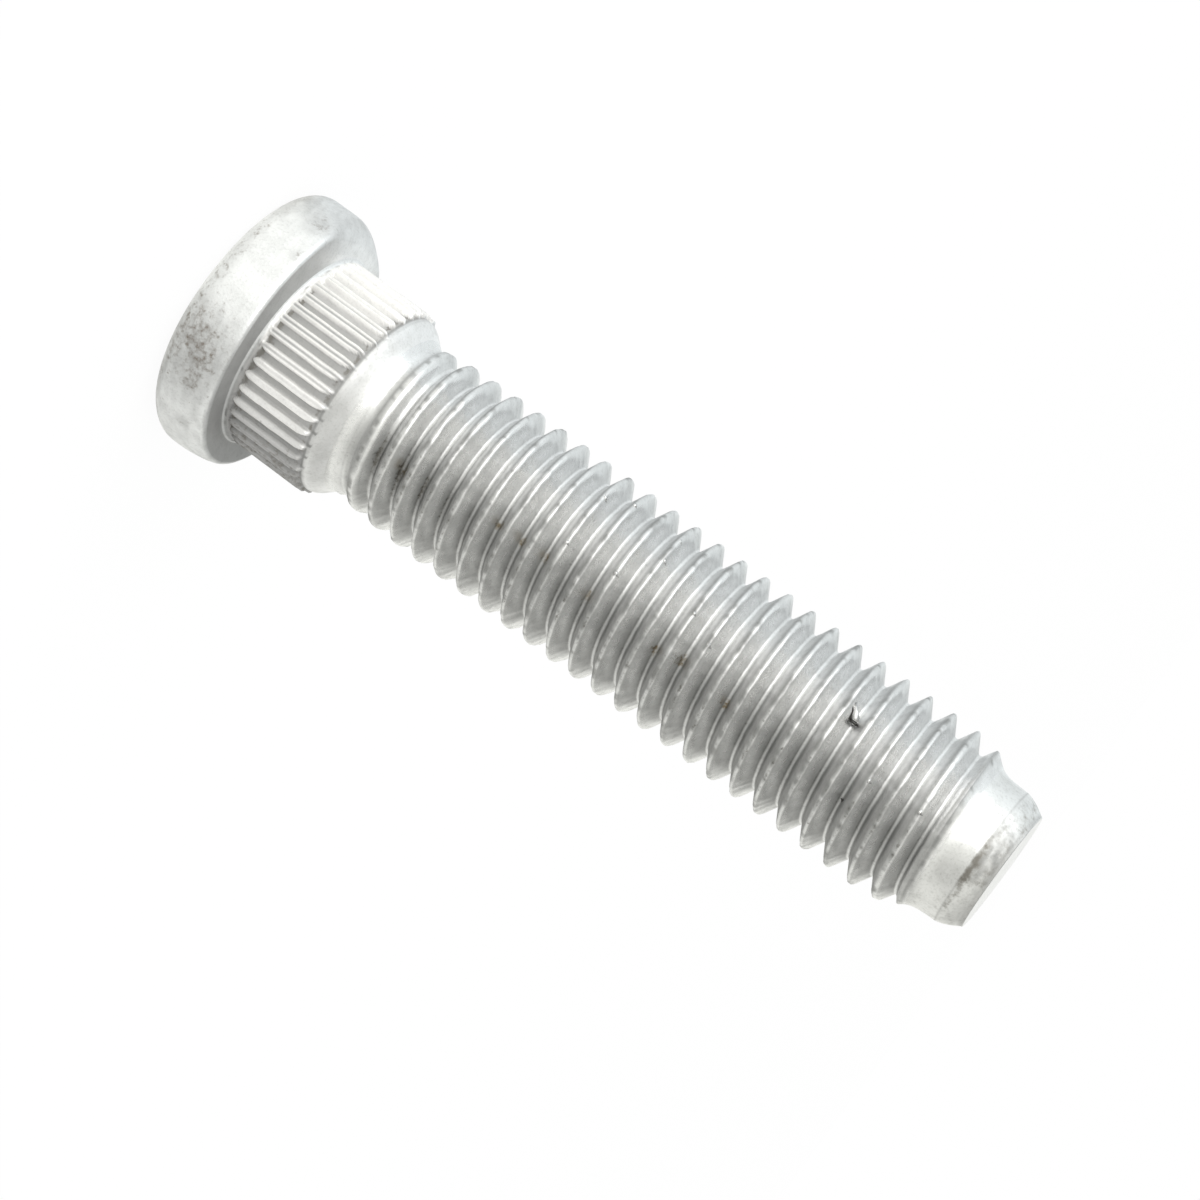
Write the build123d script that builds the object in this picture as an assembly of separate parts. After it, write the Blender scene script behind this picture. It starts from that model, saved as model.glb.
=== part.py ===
from build123d import *
from math import ceil, pi, radians, sin, tan
import os

# Wheel stud: one piece of cold-formed steel with a round head, a splined shank that is pressed into
# the hub flange, a rolled right-hand thread for the wheel nut and a plain dog point that leads the nut on.
# The origin is on the axis in the plane of the seat under the head, and +Z runs to the threaded end.

# Head
head_diameter = 21.0
head_thickness = 5.2
head_outer_round = 1.8
seat_width = 0.8

# Splined shank, with a small collar that joins it to the seat
spline_diameter = 15.6
spline_depth = 0.38
spline_length = 6.8
collar_width = 0.78
collar_height = 0.5
tooth_count = 42
tooth_tip_width = 0.3
tooth_head_slope = 0.35
tooth_head_point = 0.3
tooth_thread_slope = 0.9
tooth_thread_point = 0.6

# Shoulder and neck between the spline and the thread. Each round takes its share of the shoulder's slope.
shoulder_land = 0.05
shoulder_angle = 50.0
shoulder_round_share = 0.23
neck_fillet_share = 0.45
neck_step = 0.6
neck_land = 0.16

# Thread
thread_diameter = 13.7
thread_pitch = 2.0
thread_crest_width = 0.38
thread_flank_angle = 30.0
thread_start_angle = 68.0
crest_run_out = 4.0
root_run_out = 3.0
lead_taper_length = 1.8
lead_taper_depth = 0.43
lead_angle = 45.0

# Dog point, which has to pass inside the nut's thread
stud_length = 62.5
dog_length = 4.1
dog_clearance = 0.1
dog_flare = 0.4
dog_cone_angle = 22.0
dog_fillet = 2.8
tip_taper = 0.85
tip_angle = 28.0
tip_round = 1.8

# How far a tooth reaches into the shank, and the groove cutter past the crests and the limit of its cut
overlap = 0.15

thread_depth = (thread_pitch - thread_crest_width) / 2 / tan(radians(thread_flank_angle))

spline_radius = spline_diameter / 2
spline_root = spline_radius - spline_depth
collar_radius = spline_root + collar_width
head_radius = head_diameter / 2
head_seat_round = head_radius - collar_radius - seat_width
thread_radius = thread_diameter / 2
thread_root = thread_radius - thread_depth
neck_radius = thread_radius - neck_step
lead_radius = thread_radius - lead_taper_depth
dog_radius = thread_root - dog_clearance
dog_base_radius = dog_radius + dog_flare
tip_radius = dog_radius - tip_taper

shoulder_slope = (spline_root - neck_radius) / sin(radians(shoulder_angle))
shoulder_tangent = shoulder_round_share * shoulder_slope
neck_tangent = neck_fillet_share * shoulder_slope
shoulder_round = shoulder_tangent / tan(radians(shoulder_angle / 2))
neck_fillet = neck_tangent / tan(radians(shoulder_angle / 2))

shoulder_start = spline_length + shoulder_land + shoulder_tangent
neck_start = shoulder_start + (spline_root - neck_radius) / tan(radians(shoulder_angle))
thread_start = neck_start + neck_tangent + neck_land
full_crest_start = thread_start + crest_run_out
dog_start = stud_length - dog_length
lead_start = dog_start - (lead_radius - dog_base_radius) / tan(radians(lead_angle))
full_crest_end = lead_start - lead_taper_length
dog_cone_end = dog_start + dog_flare / tan(radians(dog_cone_angle))
tip_start = stud_length - tip_taper / tan(radians(tip_angle))


def turned(*corners):
    """Solid of revolution about Z from corners of radius, height and corner round, closed at the axis."""
    points = [(radius, height) for radius, height, _ in corners]
    rounds = [corner_round for _, _, corner_round in corners]
    bottom = (0, points[0][1])
    top = (0, points[-1][1])
    outline = FilletPolyline(bottom, *points, top, radius=rounds)
    section = make_face(outline + Line(top, bottom))
    return revolve(Plane.XZ * section, Axis.Z)


def blank():
    """The stud before rolling, at the roots of its teeth and the crests of its thread."""
    return turned(
        (head_radius, -head_thickness, head_outer_round),
        (head_radius, 0, head_seat_round),
        (collar_radius, 0, 0),
        (spline_root, collar_height, 0),
        (spline_root, shoulder_start, shoulder_round),
        (neck_radius, neck_start, neck_fillet),
        (neck_radius, thread_start, 0),
        (thread_radius, full_crest_start, 0),
        (thread_radius, full_crest_end, 0),
        (lead_radius, lead_start, 0),
        (dog_base_radius, dog_start, 0),
        (dog_radius, dog_cone_end, dog_fillet),
        (dog_radius, tip_start, tip_round),
        (tip_radius, stud_length, 0),
    )


def groove_limit():
    """What the thread groove never cuts. The groove fades out on its cones at the neck and the dog point."""
    guard_radius = neck_radius + thread_pitch
    core_radius = thread_root - overlap
    fade = (neck_radius - thread_root) / root_run_out
    fade_end = thread_start + (neck_radius - core_radius) / fade
    rise_start = dog_start - (lead_radius - core_radius) / tan(radians(lead_angle))
    return turned(
        (guard_radius, thread_start - 2 * thread_pitch, 0),
        (guard_radius, thread_start - thread_pitch / 2, 0),
        (neck_radius, thread_start, 0),
        (core_radius, fade_end, 0),
        (core_radius, rise_start, 0),
        (lead_radius, dog_start, 0),
        (lead_radius, dog_start + 2 * thread_pitch, 0),
    )


def groove_turn(height, half_width):
    """One turn of the thread groove, a sharp vee that opens outwards, from a height up by one pitch."""
    mouth_radius = thread_radius + overlap
    section = make_face(
        Polyline(
            (thread_root, height),
            (mouth_radius, height - half_width),
            (mouth_radius, height + half_width),
            close=True,
        )
    )
    path = Pos(0, 0, height) * Helix(pitch=thread_pitch, height=thread_pitch, radius=thread_radius)
    turn = sweep(Plane.XZ * section, path=path, is_frenet=True)
    return turn.rotate(Axis.Z, thread_start_angle)


def thread_groove():
    """The turns of the groove, end to end, from where it fades at the neck to where it fades at the dog point."""
    half_width = (thread_depth + overlap) * tan(radians(thread_flank_angle))
    start = thread_start - thread_pitch / 2
    turns = ceil((dog_start + half_width - start) / thread_pitch)
    limit = groove_limit()
    return [groove_turn(start + i * thread_pitch, half_width) - limit for i in range(turns)]


def tooth_outline(radius):
    """A tooth's hexagonal outline at a radius, pointed at both ends, with sloping ends and flanks."""
    half_root = spline_root * tan(pi / tooth_count)
    depth = (spline_radius - radius) / spline_depth
    half = tooth_tip_width / 2 + depth * (half_root - tooth_tip_width / 2)
    low = collar_height + (1 - depth) * tooth_head_slope
    high = spline_length - (1 - depth) * tooth_thread_slope
    low_shoulder = low + tooth_head_point * half / half_root
    high_shoulder = high - tooth_thread_point * half / half_root
    return [
        Vector(radius, 0, low),
        Vector(radius, half, low_shoulder),
        Vector(radius, half, high_shoulder),
        Vector(radius, 0, high),
        Vector(radius, -half, high_shoulder),
        Vector(radius, -half, low_shoulder),
    ]


def spline_tooth():
    """One press-fit tooth on +X, whose flanks meet its neighbours' flanks in a vee at the spline root."""
    base = tooth_outline(spline_root - overlap)
    tip = tooth_outline(spline_radius)
    faces = [Face(Wire.make_polygon(base)), Face(Wire.make_polygon(tip))]
    for i in range(len(base)):
        j = (i + 1) % len(base)
        faces.append(Face(Wire.make_polygon([base[i], base[j], tip[j], tip[i]])))
    return Solid(Shell(faces))


threaded = blank() - thread_groove()
tooth = spline_tooth()
teeth = [Rot(0, 0, 360 * i / tooth_count) * tooth for i in range(tooth_count)]
wheel_stud = threaded + teeth

os.makedirs("parts", exist_ok=True)
export_step(wheel_stud, "parts/wheel_stud.step")
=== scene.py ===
import math
import bpy
import numpy as np
from mathutils import Matrix, Vector


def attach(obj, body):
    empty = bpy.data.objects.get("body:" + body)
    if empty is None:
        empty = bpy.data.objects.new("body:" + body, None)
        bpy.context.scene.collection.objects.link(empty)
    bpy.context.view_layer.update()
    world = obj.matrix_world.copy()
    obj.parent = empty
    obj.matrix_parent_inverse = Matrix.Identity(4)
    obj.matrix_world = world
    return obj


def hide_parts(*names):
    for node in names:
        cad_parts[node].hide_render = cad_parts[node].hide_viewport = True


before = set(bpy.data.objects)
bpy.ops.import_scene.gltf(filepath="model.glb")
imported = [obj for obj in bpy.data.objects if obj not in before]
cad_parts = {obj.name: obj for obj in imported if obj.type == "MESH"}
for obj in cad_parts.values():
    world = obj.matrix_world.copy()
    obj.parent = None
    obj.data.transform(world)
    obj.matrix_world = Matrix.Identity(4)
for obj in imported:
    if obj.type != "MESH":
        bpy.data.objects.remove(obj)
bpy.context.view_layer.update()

# Head of the stud
# A round flat head, upset cold from the same bar of steel as the shank, with a rolled-over outer edge, a
# crisper edge round its seat and a small cone up to the shank. The zinc on its rim is scuffed and mottled,
# and painted shade darkens its seat, its collar and parts of its rim.
MM = 0.001
COLUMNS = 168
TOOTH_PHASE = 2.3
HEAD_RADIUS = 10.5
HEAD_FOOT = -5.2
HEAD_OUTER_ROUND = 1.8
FULLER_EDGE = 0.55
HEAD_SEAT_ROUND = 1.7
SEAT_EDGE_CRISP = 0.4
HEAD_OFF_CENTRE = 0.52
HEAD_TILT_LOW = 0.42
HEAD_TILT_HIGH = 0.14
RIM_LEAN = 0.032
RIM_BULGE = 0.28
FOOT_LIFT = 0.06
COLLAR_RADIUS = 8.2
FOOT_SCUFF = 0.26
FOOT_SCUFF_HEIGHT = -4.4
FOOT_SCUFF_HALF = 0.6
SCUFF_DULL = 0.52
SCUFF_DULL_START = 0.1
RIM_RUST = 0.36
RIM_PATCH = 0.7
RIM_PATCH_ROWS = 4
RIM_PATCH_SEED = 40
COLLAR_RAGGED = 0.40
RIPPLE_KNOTS = 4096
OUTER_ROUND_STEPS = 12
RIM_STEPS = 10
SEAT_EDGE_STEPS = 10
FOOT_RINGS = (0.12, 0.4, 0.7, 0.88, 1)
SEAT_RINGS = (0.35, 0.7)

stud_points = []
stud_marks = {"grime_and_shade": [], "stain": [], "shade_and_dull": []}
stud_faces = []
face_finish = []
stud_finishes = []
point_total = 0
HEAD_FINISH = 0

column_turn = np.radians(TOOTH_PHASE) + 2 * np.pi * np.arange(COLUMNS) / COLUMNS


def lay_points(radius, turn, height, grime_and_shade=0.0, stain=0.0, shade_and_dull=0.0):
    """Adds points given by radius, turn and height in millimetres, and returns their numbers."""
    global point_total
    radius, turn, height, grime_and_shade, stain, shade_and_dull = np.broadcast_arrays(radius, turn, height, grime_and_shade, stain, shade_and_dull)
    spots = np.stack([radius * np.cos(turn), radius * np.sin(turn), height], axis=-1) * MM
    stud_points.append(spots.reshape(-1, 3))
    stud_marks["grime_and_shade"].append(grime_and_shade.ravel())
    stud_marks["stain"].append(stain.ravel())
    stud_marks["shade_and_dull"].append(shade_and_dull.ravel())
    numbers = point_total + np.arange(radius.size)
    point_total += radius.size
    return numbers.reshape(radius.shape)


def lay_faces(faces, finish):
    """Adds faces of one finish, each a list of point numbers that runs anticlockwise seen from outside."""
    stud_faces.extend(faces)
    face_finish.extend([finish] * len(faces))


def lay_fan(ring, centre, finish):
    """Closes a ring of points, anticlockwise seen from outside, to a point at its middle."""
    lay_faces([[int(a), int(b), int(centre)] for a, b in zip(ring, np.roll(ring, -1))], finish)


def skin_rings(rings, finish):
    """Closes the wall between rings that follow each other upwards."""
    for low, high in zip(rings, rings[1:]):
        corners = np.stack([low, np.roll(low, -1), np.roll(high, -1), high], axis=-1)
        lay_faces(corners.tolist(), finish)


def ripple(place, cell, seed):
    """Smooth uneven values between -1 and 1 along a line, with one knot in each cell."""
    knots = np.random.default_rng(seed).uniform(-1, 1, RIPPLE_KNOTS)
    return np.interp(np.mod(np.asarray(place) / cell, RIPPLE_KNOTS - 1), np.arange(RIPPLE_KNOTS), knots)


def patches(place, cell, seed, gain, start):
    """Separate patches along a line, from 0 to 1: the ripple made steeper by a gain and cut at a start."""
    return np.clip(gain * ripple(place, cell, seed) - start, 0, 1)


def eased(share):
    """A share from 0 to 1 that starts and ends softly."""
    return share * share * (3 - 2 * share)


def near(place, middle, half, power=2):
    """A share that is 1 at the middle and fades out about a half width away, more sharply by the power."""
    return np.exp(-(((place - middle) / half) ** power))


def turn_gap(turn, degrees):
    """The angle in degrees between points' turns and a given one, between -180 and 180."""
    return np.degrees(np.angle(np.exp(1j * (np.asarray(turn) - math.radians(degrees)))))


def near_turn(turn, middle, half, power=2):
    """The same share round the stud, for turns in radians with a middle and a half width in degrees."""
    return near(turn_gap(turn, middle), 0, half, power)


# The head was upset a little off its centre and out of square. It is smaller and higher on the +X side, and
# fuller at its outer edge on the -X side.
toward_x = np.cos(column_turn)
rim_radius = HEAD_RADIUS - HEAD_OFF_CENTRE * ((1 + toward_x) / 2) ** 2
foot_lift = FOOT_LIFT * np.interp(toward_x, [-0.2, 1], [0, 1])
outer_round = HEAD_OUTER_ROUND - FULLER_EDGE * np.interp(-toward_x, [0.2, 1], [0, 1])
head_tilt = np.where(toward_x < 0, HEAD_TILT_LOW, HEAD_TILT_HIGH) * toward_x

# The seat edge is crisp where the die closed on the blank and soft on the -X side.
seat_softness = eased(np.interp(-toward_x, [0.75, 1], [0, 1]))
seat_round = SEAT_EDGE_CRISP + (HEAD_SEAT_ROUND - SEAT_EDGE_CRISP) * seat_softness


def seat_height(radius):
    """The height of the seat at a radius, round the head."""
    return head_tilt * (radius - COLLAR_RADIUS) / (HEAD_RADIUS - COLLAR_RADIUS)


def rim_lean(height):
    """How far the rim stands out at a height because the head leans and bulges on its smaller side."""
    smaller_side = np.clip(toward_x, 0, 1)
    bulge = RIM_BULGE * smaller_side * np.sin(np.pi * np.clip(height / HEAD_FOOT, 0, 1))
    return RIM_LEAN * smaller_side * -height + bulge


# Scuffed patches on the rim: turn and height of the middle, half widths of turn and height, and strength.
rim_scuffs = [
    (-68, -2.4, 21, 2.4, 0.58),
    (-64, -1.6, 8, 0.8, 0.18),
    (-76, -3.1, 9, 0.9, 0.14),
    (-108, -4.0, 26, 0.7, 0.22),
    (-143, -1.9, 9, 1.6, 0.36),
    (-140, -1.3, 4, 0.5, 0.24),
    (-122, -0.9, 6, 0.4, 0.45),
    (-53, -1.8, 3, 0.5, 0.40),
    (-34, -1.6, 3, 0.5, 0.50),
    (35, -2.0, 14, 1.8, 0.50),
    (118, -2.8, 20, 2.0, 0.50),
]

# How much painted shade and dull zinc lie on the rim, the seat and the collar, round the head by the cosine
# of the turn.
# The seat gets painted shade, darkest from the front round to the +X side away from the light, with some
# duller zinc.
seat_shade_and_dull = np.interp(toward_x, [-0.97, -0.87, -0.77, -0.64, 0, 1], [0, 0.16, 0.48, 0.68, 0.78, 0.76])
# Painted shade on the rim, most round its lit -X side and a little on the +X side.
rim_shade_turns = [-0.98, -0.85, -0.72, -0.6, 0, 0.2, 0.6, 1]
rim_shade = np.interp(toward_x, rim_shade_turns, [0.40, 0.34, 0.14, 0, 0, 0.14, 0.20, 0.20])
rim_mottle = np.interp(toward_x, [-0.70, -0.55, -0.05, 0.1], [0.13, 0.04, 0.04, 0.13])
# Painted shade on the collar's rings, more on the +X side away from the light; the ragged patches are worn
# zinc.
collar_line_shade = np.interp(toward_x, [-0.95, -0.7, 0, 0.35, 1], [0.20, 0.10, 0.10, 0.28, 0.40])
collar_ragged = patches(column_turn * COLLAR_RADIUS, cell=0.4, seed=31, gain=1.6, start=0.3)
collar_shade_and_wear = np.interp(toward_x, [-0.05, 0.2, 1], [0, 0.60, 0.75]) + COLLAR_RAGGED * collar_ragged


def rim_scuff(height):
    """The scuffing on the rim at a height, from 0 to 1, round the head."""
    scuff = FOOT_SCUFF * near(height, FOOT_SCUFF_HEIGHT, FOOT_SCUFF_HALF)
    for turn, level, turn_half, level_half, strength in rim_scuffs:
        scuff = scuff + strength * near_turn(column_turn, turn, turn_half) * near(height, level, level_half)
    return np.clip(scuff, 0, 1)


def rim_shade_and_dull(height):
    """The painted shade and dull zinc on the rim at a height: painted shade round its lit side, dulled zinc
    under the scuffs and in small patches.
    """
    scuffed = SCUFF_DULL * np.clip(rim_scuff(height) - SCUFF_DULL_START, 0, 1)
    patch_seed = RIM_PATCH_SEED + int(RIM_PATCH_ROWS * np.mean(height))
    mottled = rim_mottle * ripple(column_turn * HEAD_RADIUS, RIM_PATCH, patch_seed)
    return np.clip(rim_shade + scuffed + mottled, 0, 1)


head_centre = lay_points(0.0, 0.0, HEAD_FOOT)
foot_edge = rim_radius + rim_lean(HEAD_FOOT) - outer_round
foot_rings = []
for share in FOOT_RINGS:
    foot_rings.append(lay_points(share * foot_edge, column_turn, HEAD_FOOT + foot_lift * share**2))
lay_fan(foot_rings[0][::-1], head_centre, HEAD_FINISH)
skin_rings(foot_rings, HEAD_FINISH)
head_rings = [foot_rings[-1]]


def lay_rim(radius, height, shade_and_dull):
    """Adds one ring of the rim, with its scuffs, the brown specks in them, and its painted shade and dull
    zinc.
    """
    scuff = rim_scuff(height)
    head_rings.append(lay_points(radius, column_turn, height, scuff, RIM_RUST * scuff, shade_and_dull))


for angle in np.radians(np.linspace(-90, 0, OUTER_ROUND_STEPS))[1:]:
    height = HEAD_FOOT + foot_lift + outer_round * (1 + math.sin(angle))
    radius = rim_radius + rim_lean(height) - outer_round * (1 - math.cos(angle))
    lay_rim(radius, height, rim_shade_and_dull(height))
rim_low = HEAD_FOOT + foot_lift + outer_round
rim_high = seat_height(rim_radius) - seat_round
for share in np.linspace(0, 1, RIM_STEPS)[1:-1]:
    height = rim_low + share * (rim_high - rim_low)
    lay_rim(rim_radius + rim_lean(height), height, rim_shade_and_dull(height))
for turned_in in np.linspace(0, 1, SEAT_EDGE_STEPS):
    angle = turned_in * math.pi / 2
    radius = rim_radius - seat_round * (1 - math.cos(angle))
    height = seat_height(radius) - seat_round * (1 - math.sin(angle))
    lay_rim(radius, height, rim_shade_and_dull(height) + turned_in**4 * (seat_shade_and_dull - rim_shade_and_dull(height)))
for share in SEAT_RINGS:
    radius = (1 - share) * (rim_radius - seat_round) + share * COLLAR_RADIUS
    head_rings.append(lay_points(radius, column_turn, seat_height(radius), 0, 0, seat_shade_and_dull))
collar_outline = [
    (COLLAR_RADIUS + 0.03, 0.0, seat_shade_and_dull),
    (8.02, 0.01, seat_shade_and_dull),
    (7.98, 0.03, collar_line_shade),
    (7.91, 0.09, collar_line_shade),
    (7.83, 0.16, collar_shade_and_wear),
]
for radius, height, shade_and_dull in collar_outline:
    head_rings.append(lay_points(radius, column_turn, height, 0, 0, shade_and_dull))
skin_rings(head_rings, HEAD_FINISH)
head_top = head_rings[-1]


def new_group(name, inputs, outputs):
    """An empty shader node group with named inputs of (name, type, value) and outputs of (name, type)."""
    group = bpy.data.node_groups.new(name, "ShaderNodeTree")
    for label, kind, value in inputs:
        socket = group.interface.new_socket(label, in_out="INPUT", socket_type=kind)
        socket.default_value = value
    for label, kind in outputs:
        group.interface.new_socket(label, in_out="OUTPUT", socket_type=kind)
    return group, group.nodes.new("NodeGroupInput"), group.nodes.new("NodeGroupOutput")


def math_node(tree, operation, first, second, clamp=False):
    """A math node whose two inputs are sockets or numbers. It returns the output socket."""
    node = tree.nodes.new("ShaderNodeMath")
    node.operation = operation
    node.use_clamp = clamp
    for place, value in enumerate((first, second)):
        if isinstance(value, (int, float)):
            node.inputs[place].default_value = value
        else:
            tree.links.new(value, node.inputs[place])
    return node.outputs[0]


def range_node(tree, value, low, high, to_low, to_high):
    """Maps a socket's range to another one, smoothly and held at both ends."""
    node = tree.nodes.new("ShaderNodeMapRange")
    node.interpolation_type = "SMOOTHSTEP"
    tree.links.new(value, node.inputs["Value"])
    for label, number in (("From Min", low), ("From Max", high), ("To Min", to_low), ("To Max", to_high)):
        if isinstance(number, (int, float)):
            node.inputs[label].default_value = number
        else:
            tree.links.new(number, node.inputs[label])
    return node.outputs["Result"]


def mix_node(tree, factor, first, second):
    """Mixes two colours, each a socket or a colour, by a factor socket."""
    node = tree.nodes.new("ShaderNodeMix")
    node.data_type = "RGBA"
    tree.links.new(factor, node.inputs["Factor"])
    for label, value in (("A", first), ("B", second)):
        socket = next(s for s in node.inputs if s.name == label and s.type == "RGBA")
        if isinstance(value, tuple):
            socket.default_value = value
        else:
            tree.links.new(value, socket)
    return next(s for s in node.outputs if s.type == "RGBA")


def noise_node(tree, vector, scale, detail, roughness):
    """A noise texture in the stud's own coordinates, with a scale in cells per metre."""
    node = tree.nodes.new("ShaderNodeTexNoise")
    tree.links.new(vector, node.inputs["Vector"])
    node.inputs["Detail"].default_value = detail
    node.inputs["Roughness"].default_value = roughness
    if isinstance(scale, (int, float)):
        node.inputs["Scale"].default_value = scale
    else:
        tree.links.new(scale, node.inputs["Scale"])
    return node.outputs["Fac"]


# Zinc skin: the plated surface that every part of the stud shares, mottled and with grains a fifth of a
# millimetre across.
SKIN_GRAIN_SCALE = 5200.0
SKIN_GRAIN_DARK = 0.5
SKIN_MOTTLE_HEIGHT = 0.8
zinc_skin, skin_in, skin_out = new_group(
    "zinc_skin",
    [
        ("Light", "NodeSocketColor", (0.80, 0.81, 0.82, 1)),
        ("Dark", "NodeSocketColor", (0.58, 0.59, 0.60, 1)),
        ("Mottle Scale", "NodeSocketFloat", 900.0),
        ("Mottle", "NodeSocketFloat", 0.5),
        ("Smooth", "NodeSocketFloat", 0.34),
        ("Rough", "NodeSocketFloat", 0.52),
    ],
    [("Color", "NodeSocketColor"), ("Roughness", "NodeSocketFloat"), ("Height", "NodeSocketFloat")],
)
skin_place = zinc_skin.nodes.new("ShaderNodeTexCoord").outputs["Object"]
skin_mottle = noise_node(zinc_skin, skin_place, skin_in.outputs["Mottle Scale"], detail=5.0, roughness=0.62)
skin_grain = noise_node(zinc_skin, skin_place, SKIN_GRAIN_SCALE, detail=3.0, roughness=0.6)
mottle_patch = range_node(zinc_skin, skin_mottle, low=0.42, high=0.66, to_low=0.0, to_high=1.0)
mottle_patch = math_node(zinc_skin, "MULTIPLY", mottle_patch, skin_in.outputs["Mottle"])
grain_dark = range_node(zinc_skin, skin_grain, low=0.46, high=0.74, to_low=0.0, to_high=SKIN_GRAIN_DARK)
skin_tone = math_node(zinc_skin, "ADD", mottle_patch, grain_dark, clamp=True)
skin_colour = mix_node(zinc_skin, skin_tone, skin_in.outputs["Light"], skin_in.outputs["Dark"])
zinc_skin.links.new(skin_colour, skin_out.inputs["Color"])
skin_rough = range_node(zinc_skin, skin_tone, 0.0, 1.0, skin_in.outputs["Smooth"], skin_in.outputs["Rough"])
zinc_skin.links.new(skin_rough, skin_out.inputs["Roughness"])
mottle_height = math_node(zinc_skin, "MULTIPLY", skin_mottle, SKIN_MOTTLE_HEIGHT)
zinc_skin.links.new(math_node(zinc_skin, "ADD", skin_grain, mottle_height), skin_out.inputs["Height"])

# Speck film: grime, stains and painted shade that stay where the marks on the points say, broken up into
# specks.
BARE_SPECK_EDGE = 0.86
FULL_MARK_SPECKS = 0.5
speck_film, speck_in, speck_out = new_group(
    "speck_film",
    [
        ("Mask", "NodeSocketFloat", 0.0),
        ("Speck Scale", "NodeSocketFloat", 3000.0),
        ("Blur", "NodeSocketFloat", 0.08),
    ],
    [("Cover", "NodeSocketFloat")],
)
speck_place = speck_film.nodes.new("ShaderNodeTexCoord").outputs["Object"]
film_speck_scale = speck_in.outputs["Speck Scale"]
film_specks = noise_node(speck_film, speck_place, film_speck_scale, detail=4.0, roughness=0.65)
speck_more = math_node(speck_film, "MULTIPLY", speck_in.outputs["Mask"], FULL_MARK_SPECKS)
speck_edge = math_node(speck_film, "SUBTRACT", BARE_SPECK_EDGE, speck_more)
speck_cover = math_node(speck_film, "SUBTRACT", film_specks, speck_edge)
speck_low = math_node(speck_film, "MULTIPLY", speck_in.outputs["Blur"], -1.0)
speck_cover = range_node(speck_film, speck_cover, speck_low, speck_in.outputs["Blur"], 0.0, 1.0)
speck_film.links.new(speck_cover, speck_out.inputs["Cover"])

# The grey that the points' dull mark mixes in: mostly painted shade, and dull zinc where the mark is wear.
SHADE_AND_DULL_ZINC = (0.30, 0.30, 0.296, 1)
BROWN_STAIN = (0.25, 0.20, 0.13, 1)
FILM_ROUGHNESS = 0.3


def zinc_finish(
    name,
    metal,
    light,
    dark,
    mottle_scale,
    mottle,
    smooth,
    rough,
    grain_depth,
    speck_scale,
    speck_blur,
    film_colour,
):
    """A zinc-plated steel material for one part of the stud, with its own skin, grime, stains and painted
    shade.
    """
    material = bpy.data.materials.new(name)
    material.use_nodes = True
    tree = material.node_tree
    steel = tree.nodes["Principled BSDF"]
    steel.inputs["Metallic"].default_value = metal
    skin = tree.nodes.new("ShaderNodeGroup")
    skin.node_tree = zinc_skin
    for label, value in (
        ("Light", light),
        ("Dark", dark),
        ("Mottle Scale", mottle_scale),
        ("Mottle", mottle),
        ("Smooth", smooth),
        ("Rough", rough),
    ):
        skin.inputs[label].default_value = value
    covers = []
    for mark in ("grime_and_shade", "stain"):
        darkening = tree.nodes.new("ShaderNodeGroup")
        darkening.node_tree = speck_film
        darkening.inputs["Speck Scale"].default_value = speck_scale
        darkening.inputs["Blur"].default_value = speck_blur
        attribute = tree.nodes.new("ShaderNodeAttribute")
        attribute.attribute_name = mark
        tree.links.new(attribute.outputs["Fac"], darkening.inputs["Mask"])
        covers.append(darkening.outputs["Cover"])
    shade_and_dull = tree.nodes.new("ShaderNodeAttribute")
    shade_and_dull.attribute_name = "shade_and_dull"
    colour = mix_node(tree, shade_and_dull.outputs["Fac"], skin.outputs["Color"], SHADE_AND_DULL_ZINC)
    colour = mix_node(tree, covers[0], colour, film_colour)
    colour = mix_node(tree, covers[1], colour, BROWN_STAIN)
    tree.links.new(colour, steel.inputs["Base Color"])
    film_cover = math_node(tree, "MAXIMUM", covers[0], covers[1])
    film_rough = math_node(tree, "MAXIMUM", film_cover, shade_and_dull.outputs["Fac"])
    film_rough = math_node(tree, "MULTIPLY", film_rough, FILM_ROUGHNESS)
    tree.links.new(math_node(tree, "ADD", skin.outputs["Roughness"], film_rough), steel.inputs["Roughness"])
    bump = tree.nodes.new("ShaderNodeBump")
    bump.inputs["Strength"].default_value = 1.0
    bump.inputs["Distance"].default_value = grain_depth * MM
    tree.links.new(skin.outputs["Height"], bump.inputs["Height"])
    tree.links.new(bump.outputs["Normal"], steel.inputs["Normal"])
    return material


stud_finishes.append(
    zinc_finish(
        "zinc_on_head",
        metal=0.8,
        light=(0.958, 0.968, 0.972, 1),
        dark=(0.73, 0.735, 0.735, 1),
        mottle_scale=700.0,
        mottle=0.36,
        smooth=0.34,
        rough=0.50,
        grain_depth=0.034,
        speck_scale=2300.0,
        speck_blur=0.20,
        film_colour=(0.31, 0.285, 0.265, 1),
    )
)

# Splined shank, shoulder and neck
# Forty-two straight teeth, rolled into the steel of the shank, that bite into the hub's hole. Some grow
# out of the collar and the rest have rounded points. Beyond them a smooth shoulder leads to the neck.
SPLINE_FINISH = 1
SHOULDER_FINISH = 2
COLUMN_SPLIT = 4
SPLINE_COLUMNS = COLUMN_SPLIT * COLUMNS
SPLINE_ROOT = 7.42
TOOTH_COUNT = 42
TOOTH_COLUMNS = SPLINE_COLUMNS // TOOTH_COUNT
TOOTH_HEIGHT = 0.38
TOOTH_HALF_WIDTH = 0.36
TOOTH_FLANK = 0.14
TOOTH_FOLD = 0.10
TOOTH_FOLD_HALF = 0.13
TOOTH_HEAD_END = 0.32
TOOTH_HEAD_POINT = 0.50
TOOTH_THREAD_END = 6.75
TOOTH_THREAD_POINT = 0.75
TOOTH_SLANT = -1.1
TOOTH_SPREAD = 2.0
TOOTH_END_SLIP = 0.16
TOOTH_HEAD_SLIP = 0.12
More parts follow.
